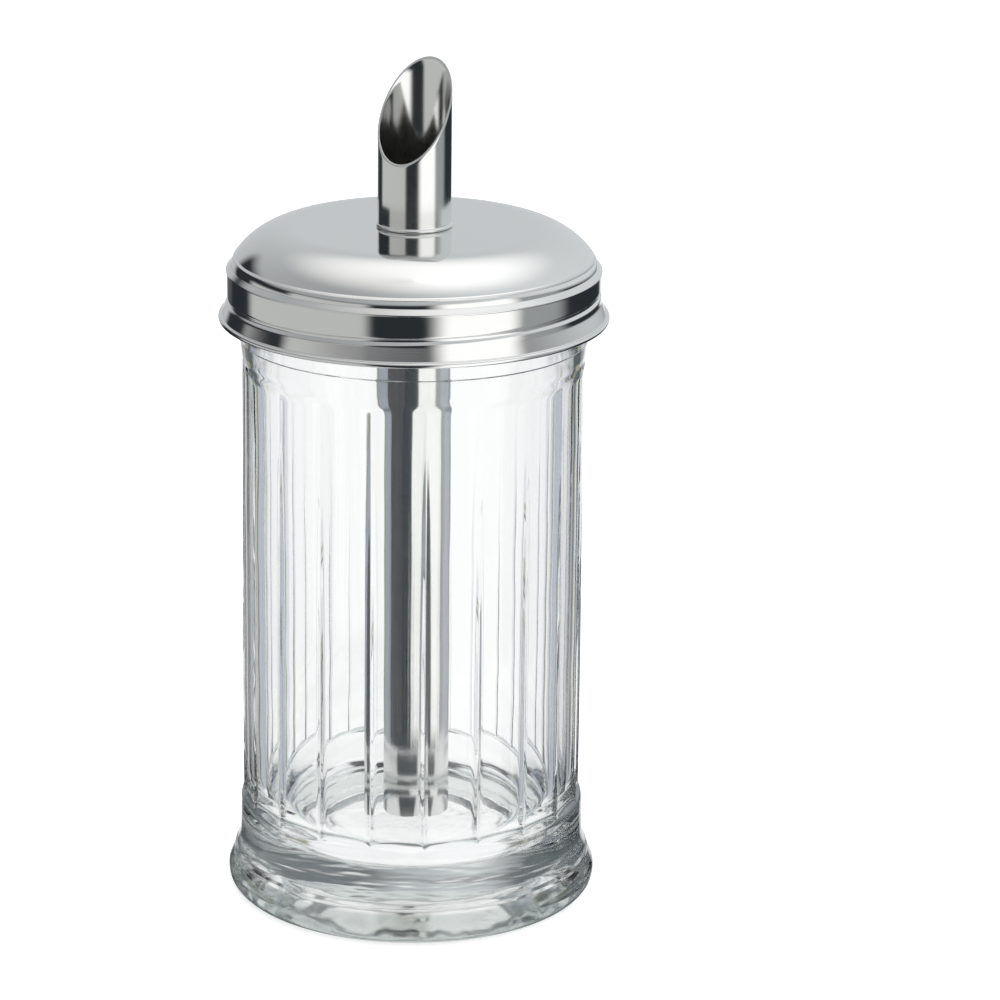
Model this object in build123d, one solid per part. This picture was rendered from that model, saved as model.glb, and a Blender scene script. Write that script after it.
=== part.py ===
"""Sugar dispenser: a fluted pressed-glass jar, a stamped steel screw lid with its liner, and a dosing
tube that runs from just above the jar's floor up through the lid to an obliquely cut spout.

Millimetres, +Z up. The origin is on the axis, in the plane that the foot stands on. The spout opens
towards -Y.
"""

from build123d import *
import os
from math import cos, radians, sin, tan

# Glass jar: cavity
bore_radius = 29.3
floor_height = 10.5  # of the cavity's floor above the table
floor_corner = 14.0  # radius between floor and bore
jar_height = 122.5  # from the table to the brim

# Glass jar: neck and shoulder
neck_wall = 3.5
brim_round = 0.9
collar_drop = 13.8  # from the brim down to the collar's lower edge
collar_step = 0.3  # of the mould line under the collar
shoulder_drop = 3.6  # from the collar's lower edge down to the straight body
shoulder_round = 5.0

# Glass jar: fluted body
body_wall = 2.8  # at the ridges
flute_count = 20
flute_depth = 0.5  # from the ridges' radius to the middle of a flute's flat bottom
ridge_land = 0.5  # width left between two flutes
flute_end_round = 2.0  # how roundly a flute runs out under the shoulder
first_ridge = 31.3  # degrees from the spout's side to a ridge, counter-clockwise from above

# Glass jar: foot
shelf_height = 17.9  # of the edge of the sloping shelf on which the flutes end
shelf_step = 0.65  # of that edge beyond the ridges
shelf_slope = 54.0  # degrees, up towards the body
shelf_round = 2.0
waist_swell = 0.25  # of the waist beyond the shelf
waist_height = 9.8
waist_round = 9.0
crease_swell = 0.9  # of the crease beyond the waist, where the flare meets the heel
crease_height = 7.0
heel_swell = 1.45  # of the heel beyond the crease, the widest part of the foot
heel_height = 3.6
heel_lean = 0.3  # of the heel's side, in towards the table
heel_round = 2.6
contact_inset = 8.35  # from the heel in to the inner edge of the ring that the jar stands on
push_up_depth = 2.4  # of the hollow under the jar
push_up_slope_width = 7.0
push_up_round = 8.0

# Lid liner: a flat ring, bevelled to the slope inside the lid
liner_overhang = 0.3  # of the liner beyond the neck
liner_width = 3.4
liner_thickness = 1.5
liner_bevel = 0.5
liner_gap = 0.05  # between the liner and what it seats against

# Lid, stamped from sheet
sheet = 0.5
thread_room = 1.5  # between the neck and the inside of the skirt, for the threads
shoulder_angle = 55.8  # degrees, slope of the dome's edge
crown_rise = 6.33  # of the dome's top above the knee, where its slope turns down into its wall
crown_round = 13.3  # radius between the flat top and the sloping edge
knee_round = 3.4  # between the dome's slope and its wall
wall_inset = 0.8  # of the dome's wall from the skirt
wall_flare = 0.15  # of that wall, from the knee down
notch_drop = 0.85  # from the knee to the notch between the dome's wall and the sloping rim
rim_drop = 1.0  # from the notch to the rim's edge
rim_swell = 0.2  # of that edge beyond the skirt
rim_round = 0.15
groove_drop = 6.6  # from the knee to the middle of the thread's groove
groove_depth = 0.38
groove_half_width = 0.8
groove_round = 0.6
edge_roll = 0.5  # radius of the lid's rolled lower edge
edge_swell = 1.6  # of that edge beyond the skirt
edge_drop = 11.2  # from the knee to the lid's lowest point

# Dosing tube
tube_radius = 6.85
tube_wall = 0.35
tube_fit = 0.03  # between the tube and the hole in the lid
tube_floor_gap = 4.0  # between the tube's lower end and the jar's floor
spout_length = 30.5  # from the lid's top to the spout's tip
spout_cut_angle = 53.0  # degrees from level
tube_bead = 0.3  # radius of the beads above and below the lid's sheet
bead_gap = 0.02  # between a bead and the sheet

# Worked out from the sizes above
neck_radius = bore_radius + neck_wall
body_radius = bore_radius + body_wall
shelf_radius = body_radius + shelf_step
waist_radius = shelf_radius + waist_swell
crease_radius = waist_radius + crease_swell
heel_radius = crease_radius + heel_swell
contact_radius = heel_radius - contact_inset
slope = radians(shoulder_angle)
collar_height = jar_height - collar_drop
flute_top = collar_height - shoulder_drop
liner_radius = neck_radius + liner_overhang
liner_top = jar_height + liner_gap + liner_thickness
skirt_radius = neck_radius + thread_room + sheet
wall_radius = skirt_radius - wall_inset
knee_radius = wall_radius - wall_flare
# The slope inside the lid passes just outside the liner's bevel.
bevel_radius = liner_radius - liner_bevel + liner_gap
slope_drop = (knee_radius - sheet * sin(slope) - bevel_radius) * tan(slope)
knee_height = liner_top - slope_drop + sheet * cos(slope)
crown_height = knee_height + crown_rise
spout_tip = crown_height + spout_length
tube_bottom = floor_height + tube_floor_gap


def turned(outline):
    """The solid that a closed outline in radius and height makes round the axis."""
    return revolve(Plane.XZ * make_face(outline), Axis.Z)


def foot():
    """The jar's foot, up to where its shelf slopes into the body's wall."""
    top_radius = body_radius - body_wall / 2
    top_height = shelf_height + (shelf_radius - top_radius) * tan(radians(shelf_slope))
    outline = FilletPolyline(
        (0, push_up_depth),
        (contact_radius - push_up_slope_width, push_up_depth),
        (contact_radius, 0),
        (heel_radius - heel_lean, 0),
        (heel_radius, heel_height),
        (crease_radius, crease_height),
        (waist_radius, waist_height),
        (shelf_radius, shelf_height),
        (top_radius, top_height),
        (0, top_height),
        radius=[0, push_up_round, 0, heel_round, heel_round, 0, waist_round, shelf_round, 0, 0],
        close=True,
    )
    return turned(outline)


def body():
    """The jar above the foot, still solid and without its flutes."""
    outline = FilletPolyline(
        (0, waist_height),
        (body_radius, waist_height),
        (body_radius, flute_top),
        (neck_radius - collar_step, collar_height),
        (neck_radius, collar_height),
        (neck_radius, jar_height),
        (0, jar_height),
        radius=[0, 0, shoulder_round, 0, 0, 0, 0],
        close=True,
    )
    return turned(outline)


def flute_cutters():
    """One flat bar for each flute, standing round the body from within the foot."""
    width = 2 * body_radius * sin(radians(180 / flute_count)) - ridge_land
    length = flute_top - waist_height
    bar = Box(width, 3 * flute_end_round, length, align=(Align.CENTER, Align.MIN, Align.MIN))
    run_out = bar.edges().filter_by(Axis.X).group_by(Axis.Z)[-1].sort_by(Axis.Y)[0]
    bar = Rot(Z=-90) * fillet(run_out, flute_end_round)
    reach = body_radius - flute_depth
    middle = first_ridge - 90 + 180 / flute_count
    places = PolarLocations(reach, flute_count, start_angle=middle)
    return [Pos(0, 0, waist_height) * place * bar for place in places]


def cavity():
    """The inside of the jar, open at the brim."""
    outline = FilletPolyline(
        (0, floor_height),
        (bore_radius, floor_height),
        (bore_radius, jar_height + 1),
        (0, jar_height + 1),
        radius=[0, floor_corner, 0, 0],
        close=True,
    )
    return turned(outline)


def glass_jar():
    jar = body() - flute_cutters() + foot() - cavity()
    brim = jar.edges().filter_by_position(Axis.Z, jar_height - 0.01, jar_height + 0.01)
    return fillet(brim, brim_round)


def lid_seal():
    """The flat liner between the brim and the slope inside the lid."""
    bottom = liner_top - liner_thickness
    outline = Polyline(
        (liner_radius - liner_width, bottom),
        (liner_radius, bottom),
        (liner_radius, liner_top - liner_bevel * tan(slope)),
        (liner_radius - liner_bevel, liner_top),
        (liner_radius - liner_width, liner_top),
        close=True,
    )
    return turned(outline)


def inside_corners(corners):
    """The corners of a folded sheet's inside, which lies on the right of the outside's corners."""
    points = [Vector(*corner) for corner in corners]
    folds = [(after - before).normalized() for before, after in zip(points, points[1:])]
    sides = [Vector(fold.Y, -fold.X) for fold in folds]
    inside = [points[0] + sides[0] * sheet]
    for point, before, after in zip(points[1:], sides, sides[1:]):
        inside.append(point + (before + after) * (sheet / (1 + before.dot(after))))
    inside.append(points[-1] + sides[-1] * sheet)
    return inside


def folded_sheet(corners, rounds):
    """The section of a sheet folded along the corners of its outside, from end to end.

    Each fold between the ends has a pair of radii, on the outside and on the inside.
    """
    back = inside_corners(corners)[::-1]
    outside = [radii[0] for radii in rounds]
    inside = [radii[1] for radii in rounds][::-1]
    outline = FilletPolyline(*corners, *back, radius=[0, *outside, 0, 0, *inside, 0], close=True)
    return make_face(outline)


def lid_shell():
    """One stamping: flat-topped dome, sloping rim, skirt with a groove, and a rolled edge."""
    crown_edge = knee_radius - crown_rise / tan(slope)
    notch_height = knee_height - notch_drop
    rim_radius = skirt_radius + rim_swell
    rim_height = notch_height - rim_drop
    groove_height = knee_height - groove_drop
    edge_height = knee_height - edge_drop + edge_roll
    edge_middle = skirt_radius + edge_swell - edge_roll
    sharp = (0, 0)
    grooved = (groove_round, groove_round)
    stamping = folded_sheet(
        [
            (tube_radius + tube_fit, crown_height),
            (crown_edge, crown_height),
            (knee_radius, knee_height),
            (wall_radius, notch_height),
            (skirt_radius, rim_height),
            (skirt_radius, groove_height + groove_half_width),
            (skirt_radius - groove_depth, groove_height),
            (skirt_radius, groove_height - groove_half_width),
            (edge_middle, edge_height),
        ],
        [(crown_round, crown_round - sheet), (knee_round, knee_round - sheet)]
        + [sharp, sharp, grooved, grooved, sharp],
    )
    rim_outline = FilletPolyline(
        (wall_radius, notch_height),
        (rim_radius, rim_height),
        (skirt_radius, rim_height - rim_swell),
        (skirt_radius - sheet / 2, rim_height - rim_swell),
        radius=[0, rim_round, 0, 0],
        close=True,
    )
    edge = Pos(edge_middle, edge_height) * Circle(edge_roll)
    return revolve(Plane.XZ * (stamping + make_face(rim_outline) + edge), Axis.Z)


def dosing_tube():
    """The tube with a bead on each side of the lid's sheet and its spout cut off at a slant."""
    wall_middle = tube_radius - tube_wall / 2
    length = spout_tip - tube_bottom
    wall = Pos(wall_middle, tube_bottom + length / 2) * Rectangle(tube_wall, length)
    upper_bead = Pos(tube_radius, crown_height + bead_gap + tube_bead) * Circle(tube_bead)
    lower_bead = Pos(tube_radius, crown_height - sheet - bead_gap - tube_bead) * Circle(tube_bead)
    tube = revolve(Plane.XZ * (wall + upper_bead + lower_bead), Axis.Z)
    cut_normal = Vector(0, -sin(radians(spout_cut_angle)), cos(radians(spout_cut_angle)))
    cut = Plane(origin=(0, tube_radius, spout_tip), z_dir=cut_normal)
    return split(tube, bisect_by=cut, keep=Keep.BOTTOM)


nodes = {
    "glass_jar": glass_jar,
    "lid_seal": lid_seal,
    "lid_shell": lid_shell,
    "dosing_tube": dosing_tube,
}
os.makedirs("parts", exist_ok=True)
for name, make in nodes.items():
    export_step(make(), f"parts/{name}.step")
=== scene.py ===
"""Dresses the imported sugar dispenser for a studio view: glass, lid, liner and dosing tube.

Sizes are in millimetres and degrees unless a name says otherwise; meshes are scaled to metres as they
are made. Angles round the object are measured counter-clockwise from above, from the +X axis.
"""

from math import atan2, ceil, cos, degrees, exp, hypot, log, pi, radians, sin, sqrt, tan

import bpy
from mathutils import Euler, Matrix, Vector


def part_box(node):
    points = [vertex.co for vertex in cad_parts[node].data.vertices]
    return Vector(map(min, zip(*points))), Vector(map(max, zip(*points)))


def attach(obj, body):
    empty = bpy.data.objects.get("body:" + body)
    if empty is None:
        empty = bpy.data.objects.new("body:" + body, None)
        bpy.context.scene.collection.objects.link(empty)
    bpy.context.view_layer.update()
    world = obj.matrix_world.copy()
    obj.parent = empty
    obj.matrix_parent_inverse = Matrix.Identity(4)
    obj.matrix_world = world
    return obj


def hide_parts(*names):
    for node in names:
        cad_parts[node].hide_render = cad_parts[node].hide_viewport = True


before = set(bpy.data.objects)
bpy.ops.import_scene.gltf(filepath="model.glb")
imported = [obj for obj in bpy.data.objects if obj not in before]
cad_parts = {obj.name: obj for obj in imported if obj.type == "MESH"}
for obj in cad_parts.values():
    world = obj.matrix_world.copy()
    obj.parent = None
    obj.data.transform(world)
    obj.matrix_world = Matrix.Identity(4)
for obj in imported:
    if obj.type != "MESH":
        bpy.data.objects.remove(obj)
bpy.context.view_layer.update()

MM = 0.001
FULL_TURN = 360.0
ON_AXIS = 1e-6


def node_size(node):
    """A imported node's outer radius, lower end and upper end."""
    low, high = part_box(node)
    return high.x / MM, low.z / MM, high.z / MM


heel_radius, table_height, jar_height = node_size("glass_jar")
lid_radius, lid_bottom, crown_height = node_size("lid_shell")
bead_edge, tube_bottom, spout_tip = node_size("dosing_tube")

# Camera, as the photograph was taken
VIEW_AZIMUTH = 27.0  # from the spout's side round to the right
CAMERA_DISTANCE = 730.0
CAMERA_HEIGHT = 306.0
CAMERA_PITCH = 17.47
CAMERA_ROLL = 0.3
LENS = 146.0
AXIS_OFFSET = 0.087  # of the object left of the picture's middle, in picture widths
front = VIEW_AZIMUTH - 90  # the direction from the axis to the camera

# Glass jar, from the foot up. Each radius is worked out from the one below it.
heel_height = 3.6
heel_lean = 0.3
heel_round = 2.6
crease_radius = heel_radius - 1.45
crease_height = 7.0
crease_bead = (0.21, -0.5), (0.17, 0.15), (-0.22, 0.7)  # its corners, outwards and up from the crease
crease_round = 0.3
waist_radius = crease_radius - 0.9
waist_height = 9.8
waist_round = 9.0
shelf_radius = waist_radius - 0.25
shelf_height = 17.9
shelf_round = 2.0
shelf_slope = 54.0
body_radius = shelf_radius - 0.65
ridge_foot = shelf_height + (shelf_radius - body_radius) * tan(radians(shelf_slope))
neck_radius = body_radius + 0.7
collar_height = jar_height - 13.8
collar_step = 0.3
flute_top = collar_height - 3.6
shoulder_round = 5.0
collar_round = 0.4  # of the two bends at the collar's lower edge
collar_under = 0.25  # from that edge down to the lower bend
collar_over = 0.15  # from that edge up to the upper bend
brim_round = 0.9
bore_radius = body_radius - 2.8
floor_height = 10.5
floor_corner = 14.0
contact_radius = heel_radius - 8.35
contact_round = 0.4
push_up_depth = 2.4
push_up_slope_width = 7.0
push_up_round = 8.0

# Flutes
flute_count = 20
flute_pitch = FULL_TURN / flute_count
flute_end_round = 3.0  # how roundly a flute runs out under the shoulder
ridge_softness = 0.07  # over which two surfaces run into each other
first_ridge = 31.3 - 90  # 31.3 degrees from the spout's side
bead_rise = 0.28  # of the soft bead along each ridge
bead_half_width = 0.75
bead_top = 100.0  # where the bead has faded out
bead_top_length = 60.0  # over which it fades out

# Screw thread, shared by the neck's ridge and the lid's rolled groove
thread_pitch = 4.0
groove_height = 116.6  # of the lid's groove at the front
groove_start = -110.0  # from the front to where the groove runs in
groove_turns = 0.95
groove_depth = 0.38
groove_half_width = 0.8
ridge_lead = 1.5  # of the neck's ridge above the lid's groove
ridge_start = -260.0
ridge_turns = 1.5
ridge_rise = 1.1
ridge_half_width = 1.1
thread_run_out = 25.0  # degrees over which a thread rises and ends

# Lid
sheet = 0.5
hole_edge = 0.1  # of the level sheet round the hole
skirt_radius = lid_radius - 1.6
wall_radius = skirt_radius - 0.8
knee_radius = wall_radius - 0.15
knee_height = crown_height - 6.33
knee_round = 3.4
shoulder_angle = 55.8
crown_round = 13.3
notch_height = knee_height - 0.85
notch_round = 0.15
rim_height = notch_height - 1.0
rim_swell = 0.2
rim_round = 0.2
rim_under_round = 0.1
flare_height = knee_height - 7.4
flare_round = 2.0
edge_roll = 0.5
edge_curl = 250.0  # degrees that the edge is rolled through

# Dosing tube
tube_wall = 0.35
tube_fit = 0.03  # between the tube and the hole in the lid
bead_radius = 0.3
bead_gap = 0.02  # between a bead and the sheet
tube_radius = bead_edge - bead_radius
spout_cut_angle = 53.0
spout_foot = 5.0  # above the lid, and still below the slanted cut
edge_bevel = 0.08
edge_bulge = 0.3 * edge_bevel  # how far a bevel's middle stays within the sharp corner

# Steps of the meshes: of the path's length, or in degrees of an arc
foot_step = 1.5
shelf_step = 0.1
shelf_blend = 1.2  # above the ridges' foot, over which the shelf runs into the flutes
shelf_gap = 0.3  # from there to the first row above
shoulder_step = 0.45
shoulder_arc_step = 2.0
shoulder_length = 6.0  # below the flutes' ends, with a row at each step
body_step = 4.0  # between the rows below that
collar_end = 1.0  # above the collar's lower edge, where the body's rows end
neck_foot = 1.2  # above the collar's lower edge, where the neck's rows start
neck_step = 0.35
wall_start = 2.0  # below the brim, where the rows of the cavity's wall start
inside_step = 6.0
inside_arc_step = 4.0
brim_steps = 8
flute_steps = 20  # across each flute
crowding = 1.5  # of those towards the ridges
dome_step = 1.0
skirt_step = 0.2
lid_inside_step = 0.5
lid_arc_step = 3.0
edge_steps = 24
bead_steps = 12
lid_sides = 256
groove_room = 1.0  # below the rim, where the skirt's grooved rows start
hair = 0.01  # that a radius may be off and still count as the skirt's
tube_sides = 160
tube_twelfths = 1, 6, 11  # of the tube's length below the lid that have a row
spout_shares = 0.2, 0.4, 0.6, 0.8, 0.95  # of the height up to the cut that have a row


def smoothstep(value):
    """A smooth rise from 0 to 1, level outside them."""
    value = min(max(value, 0.0), 1.0)
    return value * value * (3 - 2 * value)


def bump(distance, half_width):
    """A rounded hump that is 1 at no distance and 0 from half_width on."""
    share = min(abs(distance) / half_width, 1.0)
    return 0.5 + 0.5 * cos(pi * share)


def soft_excess(amount):
    """The amount where it is well above 0, and 0 where it is well below, with a soft bend between."""
    return ridge_softness * log(1 + exp(amount / ridge_softness))


def rounded(corners, step=9.0):
    """The points of a path through (radius, height, fillet) corners, with an arc at each fillet.

    The arcs have a point every so many degrees.
    """
    places = [Vector(corner[:2]) for corner in corners]
    path = [places[0]]
    for before, corner, after, (_, _, fillet) in zip(places, places[1:], places[2:], corners[1:]):
        if not fillet:
            path.append(corner)
            continue
        to_before, to_after = (before - corner).normalized(), (after - corner).normalized()
        half_angle = to_before.angle(to_after) / 2
        centre = corner + (to_before + to_after).normalized() * (fillet / sin(half_angle))
        arm = fillet / tan(half_angle)
        start, end = corner + to_before * arm - centre, corner + to_after * arm - centre
        sweep = start.angle_signed(end)
        count = max(2, ceil(degrees(abs(sweep)) / step))
        heading = atan2(start.y, start.x)
        for i in range(count + 1):
            angle = heading - sweep * i / count
            path.append(centre + Vector((cos(angle), sin(angle))) * fillet)
    path.append(places[-1])
    return [(point.x, point.y) for point in path]


def subdivided(path, longest):
    """The same path with no run longer than the given length."""
    points = [path[0]]
    for (r0, z0), (r1, z1) in zip(path, path[1:]):
        count = max(1, ceil(hypot(r1 - r0, z1 - z0) / longest))
        for i in range(1, count + 1):
            points.append((r0 + (r1 - r0) * i / count, z0 + (z1 - z0) * i / count))
    return points


def arc(centre, radius, start, sweep, count):
    """Points along an arc, its angles in degrees."""
    angles = [radians(start + sweep * i / count) for i in range(count + 1)]
    return [(centre[0] + radius * cos(a), centre[1] + radius * sin(a)) for a in angles]


def revolved(name, rows, angles, body, node, closed=True):
    """A mesh of rows round the axis: each row is a function from an angle to (radius, height).

    A row on the axis is a single point. Closed rows join the last one to the first.
    """
    verts, loops = [], []
    for row in rows:
        if row(0.0)[0] < ON_AXIS:
            loops.append([len(verts)] * len(angles))
            verts.append((0, 0, row(0.0)[1] * MM))
            continue
        loops.append(range(len(verts), len(verts) + len(angles)))
        for angle in angles:
            r, z = row(angle)
            verts.append((r * cos(radians(angle)) * MM, r * sin(radians(angle)) * MM, z * MM))
    faces = []
    pairs = list(zip(loops, loops[1:])) + ([(loops[-1], loops[0])] if closed else [])
    for lower, upper in pairs:
        for i in range(len(angles)):
            j = (i + 1) % len(angles)
            corners = [lower[i], lower[j], upper[j], upper[i]]
            corners = [v for k, v in enumerate(corners) if v != corners[k - 1]]
            if len(corners) > 2:
                faces.append(corners)
    mesh = bpy.data.meshes.new(name)
    mesh.from_pydata(verts, [], faces)
    mesh.validate()
    mesh.shade_smooth()
    piece = bpy.data.objects.new(name, mesh)
    bpy.context.scene.collection.objects.link(piece)
    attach(piece, body)
    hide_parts(node)
    return piece


def even_angles(count):
    """Angles evenly spaced round the axis."""
    return [FULL_TURN * i / count for i in range(count)]


def plain_rows(path):
    """Rows of a path that is the same all round."""
    return [lambda angle, point=point: point for point in path]


def thread_share(angle, height, at_front, start, turns, half_width):
    """How far a helical thread stands at a place, from 0 to 1."""
    share = 0.0
    for turn in range(-2, 4):  # every turn that a thread here can reach
        along = (angle - front) % FULL_TURN + FULL_TURN * turn
        middle = at_front + thread_pitch * along / FULL_TURN
        run_in = smoothstep((along - start) / thread_run_out)
        run_out = smoothstep((start + turns * FULL_TURN - along) / thread_run_out)
        share = max(share, bump(height - middle, half_width) * min(run_in, run_out))
    return share


# ---------------------------------------------------------------- glass jar


def fluted(angle, blank, height):
    """The radius of the jar's outside, where flat flutes are cut into a blank of the given radius."""
    below_end = flute_top - height
    if below_end <= 0:
        return blank
    off = (angle - first_ridge) % flute_pitch - flute_pitch / 2
    end_cut = max(flute_end_round - below_end, 0)
    reach = body_radius * cos(radians(flute_pitch / 2))
    reach = reach + flute_end_round - sqrt(flute_end_round**2 - end_cut**2)
    flat = reach / cos(radians(off))
    wall = blank - soft_excess(blank - flat)
    from_ridge = blank * radians(flute_pitch / 2 - abs(off))
    rise = bead_rise * smoothstep((bead_top - height) / bead_top_length)
    return wall + rise * bump(from_ridge, bead_half_width)


def foot_rows():
    """Rows from the hollow under the jar up to the edge of the shelf, and the last one's height."""
    path = rounded(
        [
            (0, push_up_depth, 0),
            (contact_radius - push_up_slope_width, push_up_depth, push_up_round),
            (contact_radius, table_height, contact_round),
            (heel_radius - heel_lean, table_height, heel_round),
            (heel_radius, heel_height, heel_round),
            *[(crease_radius + out, crease_height + up, crease_round) for out, up in crease_bead],
            (waist_radius, waist_height, waist_round),
            (shelf_radius, shelf_height, shelf_round),
            (body_radius, ridge_foot, 0),
        ]
    )
    return plain_rows(subdivided(path[:-1], foot_step)), path[-2][1]


def shelf_rows(bottom, top):
    """Rows where the sloping shelf runs into the flutes."""
    rows = []
    count = ceil((top - bottom) / shelf_step)
    for i in range(1, count + 1):
        z = bottom + (top - bottom) * i / count
        shelf = body_radius - (z - ridge_foot) / tan(radians(shelf_slope))

        def row(angle, z=z, shelf=shelf):
            wall = fluted(angle, body_radius, z)
            return wall + soft_excess(shelf - wall), z

        rows.append(row)
    return rows


def body_rows(bottom):
    """Rows of the fluted body and the shoulder, up to just above the collar's lower edge."""
    path = rounded(
        [
            (body_radius, bottom, 0),
            (body_radius, flute_top, shoulder_round),
            (neck_radius - collar_step, collar_height - collar_under, collar_round),
            (neck_radius, collar_height + collar_over, collar_round),
            (neck_radius, collar_height + collar_end, 0),
        ],
        shoulder_arc_step,
    )
    rows = []
    for r, z in subdivided(path, shoulder_step):
        if z > flute_top - shoulder_length or z % body_step < shoulder_step:
            rows.append(lambda angle, r=r, z=z: (fluted(angle, r, z), z))
    return rows


def neck_rows():
    """Rows of the neck and its thread, up to the brim's rounding."""
    low, high = collar_height + neck_foot, jar_height - brim_round
    count = ceil((high - low) / neck_step)
    at_front = groove_height + ridge_lead
    rows = []
    for i in range(count + 1):
        z = low + (high - low) * i / count

        def row(angle, z=z):
            share = thread_share(angle, z, at_front, ridge_start, ridge_turns, ridge_half_width)
            return neck_radius + ridge_rise * share, z

        rows.append(row)
    return rows


def inside_rows():
    """Rows over the brim and down the cavity to the middle of its floor."""
    brim_middle = jar_height - brim_round
    brim = arc((neck_radius - brim_round, brim_middle), brim_round, 0, 90, brim_steps)
    brim += arc((bore_radius + brim_round, brim_middle), brim_round, 90, 90, brim_steps)
    corners = [
        (bore_radius, jar_height - wall_start, 0),
        (bore_radius, floor_height, floor_corner),
        (0, floor_height, 0),
    ]
    inside = subdivided(rounded(corners, inside_arc_step), inside_step)
    return plain_rows(brim[1:] + inside)


def jar_rows():
    """The whole jar, from the middle of its underside round to the middle of its floor."""
    foot, foot_top = foot_rows()
    shelf_top = ridge_foot + shelf_blend
    shelf = shelf_rows(foot_top, shelf_top)
    return foot + shelf + body_rows(shelf_top + shelf_gap) + neck_rows() + inside_rows()


def ridge_angles(per_flute):
    """Angles round the jar, closer together at the ridges."""
    angles = []
    for flute in range(flute_count):
        for i in range(per_flute):
            share = 2 * i / per_flute - 1
            side = 1 if share > 0 else -1
            spread = side * (1 - (1 - abs(share)) ** crowding)
            angles.append(first_ridge + flute_pitch * (flute + 0.5 + spread / 2))
    return angles


jar = revolved("jar", jar_rows(), ridge_angles(flute_steps), "jar", "glass_jar", closed=False)


# ---------------------------------------------------------------- lid


def inside_of(corners):
    """The corners of a folded sheet's inside, one sheet's thickness within its outside."""
    places = [Vector(corner[:2]) for corner in corners]
    folds = [(after - before).normalized() for before, after in zip(places, places[1:])]
    sides = [Vector((fold.y, -fold.x)) for fold in folds]
    inside = [places[0] + sides[0] * sheet]
    for place, before, after in zip(places[1:], sides, sides[1:]):
        inside.append(place + (before + after) * (sheet / (1 + before.dot(after))))
    inside.append(places[-1] + sides[-1] * sheet)
    return [(place.x, place.y, max(fillet - sheet, 0)) for place, (_, _, fillet) in zip(inside, corners)]


def lid_rows():
    """The outside of the stamping with its rolled edge, and then its inside back up to the hole."""
    edge_middle, edge_height = lid_radius - edge_roll, lid_bottom + edge_roll
    crown_edge = knee_radius - (crown_height - knee_height) / tan(radians(shoulder_angle))
    hole = tube_radius + tube_fit
    dome = [
        (hole, crown_height, 0),
        (hole + hole_edge, crown_height, 0),
        (crown_edge, crown_height, crown_round),
        (knee_radius, knee_height, knee_round),
        (wall_radius, notch_height, notch_round),
    ]
    rim = [
        (skirt_radius + rim_swell, rim_height, rim_round),
        (skirt_radius, rim_height - rim_swell, rim_under_round),
    ]
    skirt = [(skirt_radius, flare_height, flare_round), (edge_middle, edge_height, 0)]
    path = rounded(dome + rim + skirt, lid_arc_step)
    above = [point for point in path if point[1] > rim_height]
    below = path[len(above) - 1 :]
    # The skirt ends where the rolled edge's circle crosses it, and the edge goes on from there.
    end = Vector(below[-1])
    crease = end + (Vector(below[-2]) - end).normalized() * edge_roll
    outside = subdivided(above, dome_step) + subdivided(below[:-1] + [tuple(crease)], skirt_step)[1:]
    crease_angle = degrees(atan2(crease.y - edge_height, crease.x - edge_middle))
    outside += arc((edge_middle, edge_height), edge_roll, crease_angle, -edge_curl, edge_steps)[1:]
    inside = rounded(inside_of(dome + [(skirt_radius, rim_height, 0)] + skirt), lid_arc_step)

    def row(r, z):
        """A level row, or one with its share of the thread's groove where it is on the skirt."""
        on_skirt = skirt_radius - sheet - hair <= r and z < rim_height - groove_room
        if not on_skirt:
            return lambda angle: (r, z)

        def grooved(angle):
            span = groove_start, groove_turns, groove_half_width
            return r - groove_depth * thread_share(angle, z, groove_height, *span), z

        return grooved

    return [row(r, z) for r, z in outside + subdivided(inside[:-1], lid_inside_step)[::-1]]


lid = revolved("lid", lid_rows(), even_angles(lid_sides), "lid", "lid_shell")


# ---------------------------------------------------------------- dosing tube


def spout_cut(angle, radius):
    """The height of the slanted cut through the tube's wall."""
    return spout_tip + (radius * sin(radians(angle)) - tube_radius) * tan(radians(spout_cut_angle))


def tube_rows():
    """Rows up the outside with its two beads, over the slanted edge and down the bore."""
    bore = tube_radius - tube_wall
    below_cut = crown_height + spout_foot
    upper_bead = crown_height + bead_gap + bead_radius
    lower_bead = crown_height - sheet - bead_gap - bead_radius
    wall_bottom = tube_bottom + edge_bevel
    wall_length = lower_bead - bead_radius - tube_bottom
    outside = [(tube_radius - edge_bevel, tube_bottom), (tube_radius, wall_bottom)]
    outside += [(tube_radius, wall_bottom + wall_length * i / 12) for i in tube_twelfths]
    for bead in (lower_bead, upper_bead):
        outside += arc((tube_radius, bead), bead_radius, -90, 180, bead_steps)
    outside += [(tube_radius, upper_bead + 2 * bead_radius), (tube_radius, below_cut)]
    edge = [
        (tube_radius, -edge_bevel),
        (tube_radius - edge_bulge, -edge_bulge),
        (tube_radius - edge_bevel, 0),
        (bore + edge_bevel, 0),
        (bore + edge_bulge, -edge_bulge),
        (bore, -edge_bevel),
    ]
    inside = [
        (bore, below_cut),
        (bore, crown_height),
        (bore, (crown_height + tube_bottom) / 2),
        (bore, wall_bottom),
        (bore + edge_bevel, tube_bottom),
    ]

    def slanting(radius, share):
        return lambda angle: (radius, below_cut + share * (spout_cut(angle, radius) - below_cut))

    def beside_cut(radius, rise):
        return lambda angle: (radius, spout_cut(angle, radius) + rise)

    rows = plain_rows(outside)
    rows += [slanting(tube_radius, share) for share in spout_shares]
    rows += [beside_cut(radius, rise) for radius, rise in edge]
    rows += [slanting(bore, share) for share in spout_shares[::-1]]
    return rows + plain_rows(inside)


tube = revolved("tube", tube_rows(), even_angles(tube_sides), "lid", "dosing_tube")


# ---------------------------------------------------------------- materials


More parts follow.
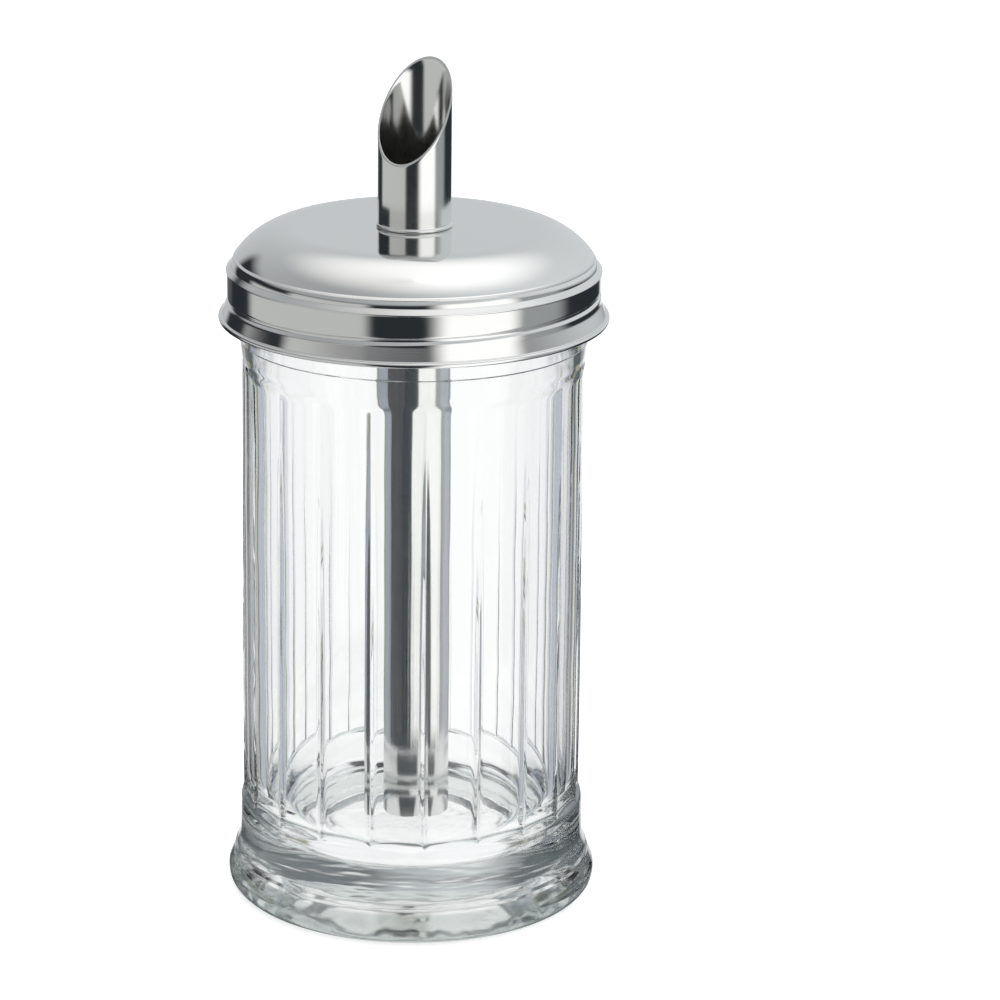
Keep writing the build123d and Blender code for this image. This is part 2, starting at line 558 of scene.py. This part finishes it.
class Shader:
    """A node tree under construction."""

    def __init__(self, tree):
        self.tree = tree

    def feed(self, node, inputs):
        """Sets a node's inputs to values, or links them from sockets."""
        for key, value in dict(inputs).items():
            if isinstance(value, bpy.types.NodeSocket):
                self.tree.links.new(value, node.inputs[key])
            else:
                node.inputs[key].default_value = value

    def node(self, kind, inputs=(), **settings):
        """A new node, with its inputs fed."""
        made = self.tree.nodes.new(kind)
        for key, value in settings.items():
            setattr(made, key, value)
        self.feed(made, inputs)
        return made

    def math(self, operation, *values):
        """The result of arithmetic on values or sockets."""
        return self.node("ShaderNodeMath", enumerate(values), operation=operation).outputs[0]

    def vector_math(self, operation, inputs):
        """The outputs of arithmetic on vectors."""
        return self.node("ShaderNodeVectorMath", inputs, operation=operation).outputs

    def between(self, value, low, high, into_low=0.0, into_high=1.0):
        """A smooth step of a value from one range into another."""
        inputs = {"Value": value, "From Min": low, "From Max": high, "To Min": into_low, "To Max": into_high}
        return self.node("ShaderNodeMapRange", inputs, interpolation_type="SMOOTHSTEP").outputs[0]

    def within(self, distance, low, high):
        """1 for distances up to one size, and 0 from another size on."""
        return self.between(distance, low * MM, high * MM, 1.0, 0.0)

    def beyond(self, distance, low, high):
        """0 for distances up to one size, and 1 from another size on."""
        return self.between(distance, low * MM, high * MM)

    def noise(self, place, scale, detail, **more):
        """Cloudy noise from 0 to 1."""
        inputs = {"Vector": place, "Scale": scale, "Detail": detail, **more}
        return self.node("ShaderNodeTexNoise", inputs).outputs[0]

    def mix(self, factor, first, second, kind="RGBA"):
        """The first colour, or a share of the second one in it."""
        inputs = {"Factor": factor, "A": first, "B": second}
        return self.node("ShaderNodeMix", inputs, data_type=kind).outputs["Result"]

    def relief(self, height, depth, strength=1.0):
        """Normals of a surface whose heights run over a depth in metres."""
        inputs = {"Height": height, "Strength": strength, "Distance": depth}
        return self.node("ShaderNodeBump", inputs).outputs[0]

    def place(self):
        """The place on the piece, in metres, and its parts along X, Y and Z."""
        place = self.node("ShaderNodeTexCoord").outputs["Object"]
        return place, self.node("ShaderNodeSeparateXYZ", {0: place}).outputs

    def from_axis(self, xyz):
        """The distance from the object's axis."""
        level = self.node("ShaderNodeCombineXYZ", {0: xyz[0], 1: xyz[1]}).outputs[0]
        return self.vector_math("LENGTH", {0: level})["Value"]


def material(name, piece):
    """A new material for a piece: its node tree and its main shader."""
    made = bpy.data.materials.new(name)
    made.use_nodes = True
    shader = Shader(made.node_tree)
    piece.data.materials.clear()
    piece.data.materials.append(made)
    return shader, made.node_tree.nodes["Principled BSDF"]


def steel_grain(shader, fine_across, fine_up, fine_round):
    """Grain that runs with the piece, this fine across the radius, up the axis and round it; smudges."""
    place, xyz = shader.place()
    turn = shader.math("ARCTAN2", xyz[1], xyz[0])
    stretched = {
        0: shader.math("MULTIPLY", shader.from_axis(xyz), fine_across),
        1: shader.math("MULTIPLY", xyz[2], fine_up),
        2: shader.math("MULTIPLY", turn, fine_round),
    }
    along_grain = shader.node("ShaderNodeCombineXYZ", stretched).outputs[0]
    grain = shader.noise(along_grain, 1.0, 4.0, Roughness=0.6)
    smudge = shader.noise(place, 90.0, 3.0, Distortion=0.6)
    return grain, smudge, xyz[2]


def finish_steel(shader, principled, tint, roughness, grain, grain_depth):
    """Stainless steel, slightly darker in its grain."""
    darker = [share * 0.93 for share in tint]
    finish = {
        "Base Color": shader.mix(grain, (*tint, 1), (*darker, 1)),
        "Roughness": roughness,
        "Normal": shader.relief(grain, grain_depth),
        "Metallic": 1.0,
    }
    shader.feed(principled, finish)


def dress_lid():
    """Spun steel: a satin dome over a polished skirt with a few smudges."""
    shader, principled = material("spun_steel", lid)
    grain, smudge, height = steel_grain(shader, 9000, 9000, 5)
    on_dome = shader.beyond(height, rim_height, notch_height)
    satin = shader.between(grain, 0.3, 0.7, 0.06, 0.09)
    polish = shader.between(smudge, 0.35, 0.75, 0.09, 0.16)
    roughness = shader.mix(on_dome, polish, satin, "FLOAT")
    finish_steel(shader, principled, (0.80, 0.80, 0.79), roughness, grain, 0.000002)


def dress_tube():
    """Drawn steel, with grain up the tube."""
    shader, principled = material("drawn_steel", tube)
    grain, smudge, _ = steel_grain(shader, 0, 12, 25)
    roughness = shader.between(shader.math("ADD", grain, smudge), 0.7, 1.3, 0.11, 0.18)
    finish_steel(shader, principled, (0.80, 0.80, 0.785), roughness, grain, 0.000001)


# Zones of the glass: the heights or radii between which each one fades
foot_end = shelf_height - 4, shelf_height + 1
corner_end = floor_height + 2, floor_height + floor_corner + 2
bore_end = bore_radius + 0.2, bore_radius + 0.6
hollow_end = push_up_depth + 0.3, push_up_depth + 0.8
contact_end = contact_radius + 1, contact_radius + 4
# The gap between heel_end and crease_end keeps clear glass: a painted highlight line along the crease
heel_end = crease_height - 1.3, crease_height - 0.6
crease_end = crease_height + 0.2, crease_height + 1.2

# Looks of the glass
clear_glass = (1, 1, 1, 1)
hazy_glass = (0.985, 0.995, 0.99, 1)
painted_shade_glass = (0.40, 0.46, 0.44, 1)  # painted shade on the foot's surface, where much glass lies behind it
glass_body = (0.82, 0.93, 0.87, 1)  # of light that has gone far through the glass
glass_density = 3.0
glass_ior = 1.5
ripple_depth = 0.00025
waves_under = 3.0  # as high as the ripple in the body
waves_in_foot = 0.15
haze_roughness = 0.02
foot_roughness = 0.01
corner_roughness = 0.10
heel_painted_shade = 0.8  # share of the painted shade on the heel
crease_painted_shade = 0.15  # share of the painted shade above the crease


def dress_jar():
    """Pressed glass: clear and gently rippled in the body, wavier in the foot, with painted shade on the
    foot and a painted highlight line along its crease.
    """
    shader, principled = material("pressed_glass", jar)
    place, xyz = shader.place()
    radius, height = shader.from_axis(xyz), xyz[2]

    def times(first, second):
        return shader.math("MULTIPLY", first, second)

    # Where on the jar: each from 0 to 1
    in_foot = shader.within(height, *foot_end)
    inside = shader.within(radius, *bore_end)
    in_corner = times(shader.within(height, *corner_end), inside)
    under = times(shader.within(height, *hollow_end), shader.within(radius, *contact_end))
    in_heel = shader.within(height, *heel_end)
    above_crease = shader.beyond(height, *crease_end)
    outside = shader.math("SUBTRACT", 1.0, shader.math("MAXIMUM", under, inside))

    ripple = shader.noise(place, 55.0, 1.0)
    waves = shader.noise(place, 90.0, 2.0)
    wave_height = shader.math("MULTIPLY_ADD", under, waves_under, times(in_foot, waves_in_foot))
    relief = shader.relief(shader.math("ADD", ripple, times(waves, wave_height)), ripple_depth)

    haze = shader.noise(place, 140.0, 5.0)
    roughness = shader.between(haze, 0.5, 0.8, 0.0, haze_roughness)
    roughness = shader.math("ADD", roughness, times(in_foot, foot_roughness))
    roughness = shader.math("ADD", roughness, times(in_corner, corner_roughness))

    # Painted shade: the foot's outside is darkened strongly on the heel and faintly above the crease
    painted_shade = shader.math("MULTIPLY_ADD", in_heel, heel_painted_shade, times(above_crease, crease_painted_shade))
    painted_shade = times(times(painted_shade, in_foot), outside)
    colour = shader.mix(painted_shade, shader.mix(haze, clear_glass, hazy_glass), painted_shade_glass)

    finish = {
        "Base Color": colour,
        "Roughness": roughness,
        "Normal": relief,
        "Transmission Weight": 1.0,
        "IOR": glass_ior,
    }
    shader.feed(principled, finish)
    absorbed = shader.node("ShaderNodeVolumeAbsorption", {"Color": glass_body, "Density": glass_density})
    shader.feed(shader.tree.nodes["Material Output"], {"Volume": absorbed.outputs[0]})


def dress_liner():
    """Milky foamed plastic with fine cells."""
    shader, principled = material("liner_foam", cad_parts["lid_seal"])
    place, _ = shader.place()
    cells = shader.node("ShaderNodeTexVoronoi", {"Vector": place, "Scale": 2500.0}).outputs["Distance"]
    blotch = shader.noise(place, 200.0, 4.0)
    finish = {
        "Base Color": shader.mix(blotch, (0.82, 0.82, 0.80, 1), (0.74, 0.74, 0.72, 1)),
        "Roughness": shader.between(cells, 0.0, 0.6, 0.45, 0.65),
        "Normal": shader.relief(cells, 0.00005, strength=0.4),
    }
    shader.feed(principled, finish)


dress_lid()
dress_tube()
dress_jar()
dress_liner()


# ---------------------------------------------------------------- studio

# Directions are a bearing, from the camera's side and growing to the camera's right, and an elevation.
# What varies with the bearing has a value at the sides, and what it gains on the right and in front.
horizon = 6, 4, 18
horizon_softness = 7, 0, 2
ceiling_light = 0.62, 0.18, -0.05
ceiling_colour = (0.97, 1.005, 1.03)
overhead_elevation = 76  # of the lamp's middle, behind the object
overhead_to_right = 0.05  # of its middle, as a share of its distance
overhead_reach = 46, 6  # degrees from its middle where its light starts and where it is full
overhead_colour = (0.62, 0.60, 0.58)

# A panel is ((middle, half width, soft sides), (low, high, soft ends)): bearings, then elevations.
left_screen = ((-88, 59, 5), (-95, 22, 6))  # keeps the ceiling's light off
reflected_panels = {
    "backdrop": (((177, 17, 4), (-95, -10, 4)), (0.95, 0.97, 0.99)),
    "main box": (((41, 27, 9), (-95, 30, 8)), (1.30, 1.30, 1.30)),
    "main box's side": (((84, 20, 9), (-95, 18, 8)), (0.36, 0.38, 0.39)),
    "left card": (((-74, 46, 5), (-95, 5, 6)), (0.60, 0.61, 0.605)),
    "left card's top": (((-56, 28, 5), (-95, 20, 6)), (0.60, 0.61, 0.605)),
    "dark": (((180, 190, 1), (-95, 95, 1)), (0.026, 0.031, 0.036)),
}
through_glass_panels = {
    "table behind": (((180, 20, 7), (-95, 8, 6)), (1.03, 1.03, 1.035)),
    "edge of the table": (((180, 27, 2), (-95, 0, 6)), (0.80, 0.82, 0.86)),
    "back wall": (((188, 17, 10), (-5, 30, 10)), (0.57, 0.59, 0.61)),
    "ceiling": (((180, 190, 1), (33, 95, 7)), (1.0, 1.0, 1.0)),
    "table": (((180, 100, 15), (-95, -36, 8)), (0.95, 0.96, 0.97)),
    "table on the left": (((-95, 45, 10), (-95, -36, 2)), (0.95, 0.96, 0.97)),
    "table on the right": (((80, 30, 8), (-95, -25, 3)), (0.95, 0.96, 0.97)),
    "table below": (((180, 190, 1), (-95, -60, 8)), (0.30, 0.32, 0.32)),
    "curtain on the left": (((-149.5, 3.5, 1.5), (-95, -4, 4)), (0.44, 0.44, 0.29)),
    "curtain on the right": (((149.5, 3.5, 1.5), (-95, -4, 4)), (0.44, 0.44, 0.29)),
    "wall on the left": (((-115, 26, 3), (-95, -8, 5)), (0.46, 0.50, 0.57)),
    "wall on the right": (((115, 26, 3), (-95, -8, 5)), (0.46, 0.50, 0.57)),
    "room behind": (((180, 90, 15), (-95, 95, 1)), (0.13, 0.15, 0.16)),
    "main box": (((43, 28, 5), (-26, 30, 6)), (1.35, 1.35, 1.35)),
    "main box's side": (((86, 17, 5), (-26, 18, 8)), (0.36, 0.38, 0.39)),
    "left card": (((-71, 43, 3), (-26, 20, 5)), (0.10, 0.10, 0.11)),
    "room": (((180, 190, 1), (-95, 95, 1)), (0.06, 0.07, 0.08)),
}
black = (0, 0, 0)
white = (1, 1, 1, 1)


def lit_panel(shader, bearing, elevation, panel):
    """How far a direction falls on a panel, from 0 to 1."""
    (middle, half_width, soft_sides), (low, high, soft_ends) = panel
    off = shader.math("SUBTRACT", bearing, radians(middle))
    off = shader.math("ABSOLUTE", shader.math("WRAP", off, pi, -pi))
    inner, outer = radians(half_width - soft_sides), radians(half_width + soft_sides)
    across = shader.between(off, inner, outer, 1.0, 0.0)
    above = shader.between(elevation, radians(low - soft_ends), radians(low + soft_ends))
    below = shader.between(elevation, radians(high - soft_ends), radians(high + soft_ends), 1.0, 0.0)
    return shader.math("MULTIPLY", shader.math("MULTIPLY", above, below), across)


def studio():
    """Surroundings by direction, one set for reflections and one for what shows through the glass."""
    world = bpy.data.worlds.new("studio")
    bpy.context.scene.world = world
    world.use_nodes = True
    shader = Shader(world.node_tree)
    towards = shader.node("ShaderNodeTexCoord").outputs["Generated"]
    xyz = shader.node("ShaderNodeSeparateXYZ", {0: towards}).outputs
    bearing = shader.math("SUBTRACT", shader.math("ARCTAN2", xyz[1], xyz[0]), radians(front))
    elevation = shader.math("ARCSINE", xyz[2])
    to_right, to_front = shader.math("SINE", bearing), shader.math("COSINE", bearing)

    def varying(at_sides, on_right, in_front):
        share = shader.math("MULTIPLY_ADD", to_front, in_front, at_sides)
        return shader.math("MULTIPLY_ADD", to_right, on_right, share)

    def scaled(colour, share):
        return shader.vector_math("SCALE", {0: colour, "Scale": share})[0]

    def with_panels(light, panels):
        """The light of each direction, or of the brightest panel there if that is brighter."""
        for panel, colour in panels.values():
            lit = scaled(colour, lit_panel(shader, bearing, elevation, panel))
            light = shader.vector_math("MAXIMUM", {0: light, 1: lit})[0]
        return light

    # The room's ceiling and walls: low down at the back, only high up at the front
    edge = varying(*map(radians, horizon))
    softness = varying(*map(radians, horizon_softness))
    low, high = shader.math("SUBTRACT", edge, softness), shader.math("ADD", edge, softness)
    ceiling = shader.math("MULTIPLY", shader.between(elevation, low, high), varying(*ceiling_light))
    screened = shader.math("SUBTRACT", 1.0, lit_panel(shader, bearing, elevation, left_screen))
    light = scaled(ceiling_colour, shader.math("MULTIPLY", ceiling, screened))

    # The lamp overhead
    rise = radians(overhead_elevation)
    overhead = Vector((overhead_to_right, cos(rise), sin(rise)))
    overhead = (Matrix.Rotation(radians(VIEW_AZIMUTH), 3, "Z") @ overhead).normalized()
    facing = shader.vector_math("DOT_PRODUCT", {0: towards, 1: overhead})["Value"]
    glow = shader.between(facing, *[cos(radians(reach)) for reach in overhead_reach])
    light = shader.vector_math("ADD", {0: light, 1: scaled(overhead_colour, glow)})[0]

    rays = shader.node("ShaderNodeLightPath").outputs
    reflected = with_panels(light, reflected_panels)
    through_glass = with_panels(black, through_glass_panels)
    seen = shader.mix(rays["Is Transmission Ray"], reflected, through_glass)
    seen = shader.mix(rays["Is Camera Ray"], seen, white)
    shader.feed(world.node_tree.nodes["Background"], {"Color": seen})


def white_floor():
    """A pale table that keeps the object's soft shadow."""
    size = 2.5  # metres, from its middle to each side
    glow = 0.72
    corners = [(-size, -size, 0), (size, -size, 0), (size, size, 0), (-size, size, 0)]
    mesh = bpy.data.meshes.new("table")
    mesh.from_pydata(corners, [], [(0, 1, 2, 3)])
    top = bpy.data.objects.new("table", mesh)
    bpy.context.scene.collection.objects.link(top)
    top.visible_glossy = False
    top.visible_transmission = False
    shader, principled = material("table", top)
    grain = shader.node("ShaderNodeTexNoise", {"Scale": 30.0, "Detail": 4.0}).outputs[0]
    camera_sees = shader.node("ShaderNodeLightPath").outputs["Is Camera Ray"]
    finish = {
        "Base Color": shader.mix(grain, (0.80, 0.80, 0.80, 1), (0.77, 0.77, 0.77, 1)),
        "Specular IOR Level": 0.0,
        "Emission Color": white,
        "Emission Strength": shader.math("MULTIPLY", camera_sees, glow),
    }
    shader.feed(principled, finish)


def camera():
    """The camera, fitted to the photograph."""
    made = bpy.data.objects.new("camera", bpy.data.cameras.new("camera"))
    bpy.context.scene.collection.objects.link(made)
    turn = radians(VIEW_AZIMUTH)
    made.location = Vector((CAMERA_DISTANCE * sin(turn), -CAMERA_DISTANCE * cos(turn), CAMERA_HEIGHT)) * MM
    aim = Euler((radians(90 - CAMERA_PITCH), 0, turn)).to_matrix()
    made.rotation_euler = (aim @ Matrix.Rotation(radians(CAMERA_ROLL), 3, "Z")).to_euler()
    made.data.lens = LENS
    made.data.shift_x = AXIS_OFFSET
    bpy.context.scene.camera = made


camera()
studio()
white_floor()

scene = bpy.context.scene
scene.view_settings.view_transform = "Standard"
scene.cycles.max_bounces = 32
scene.cycles.transmission_bounces = 24
scene.cycles.glossy_bounces = 12
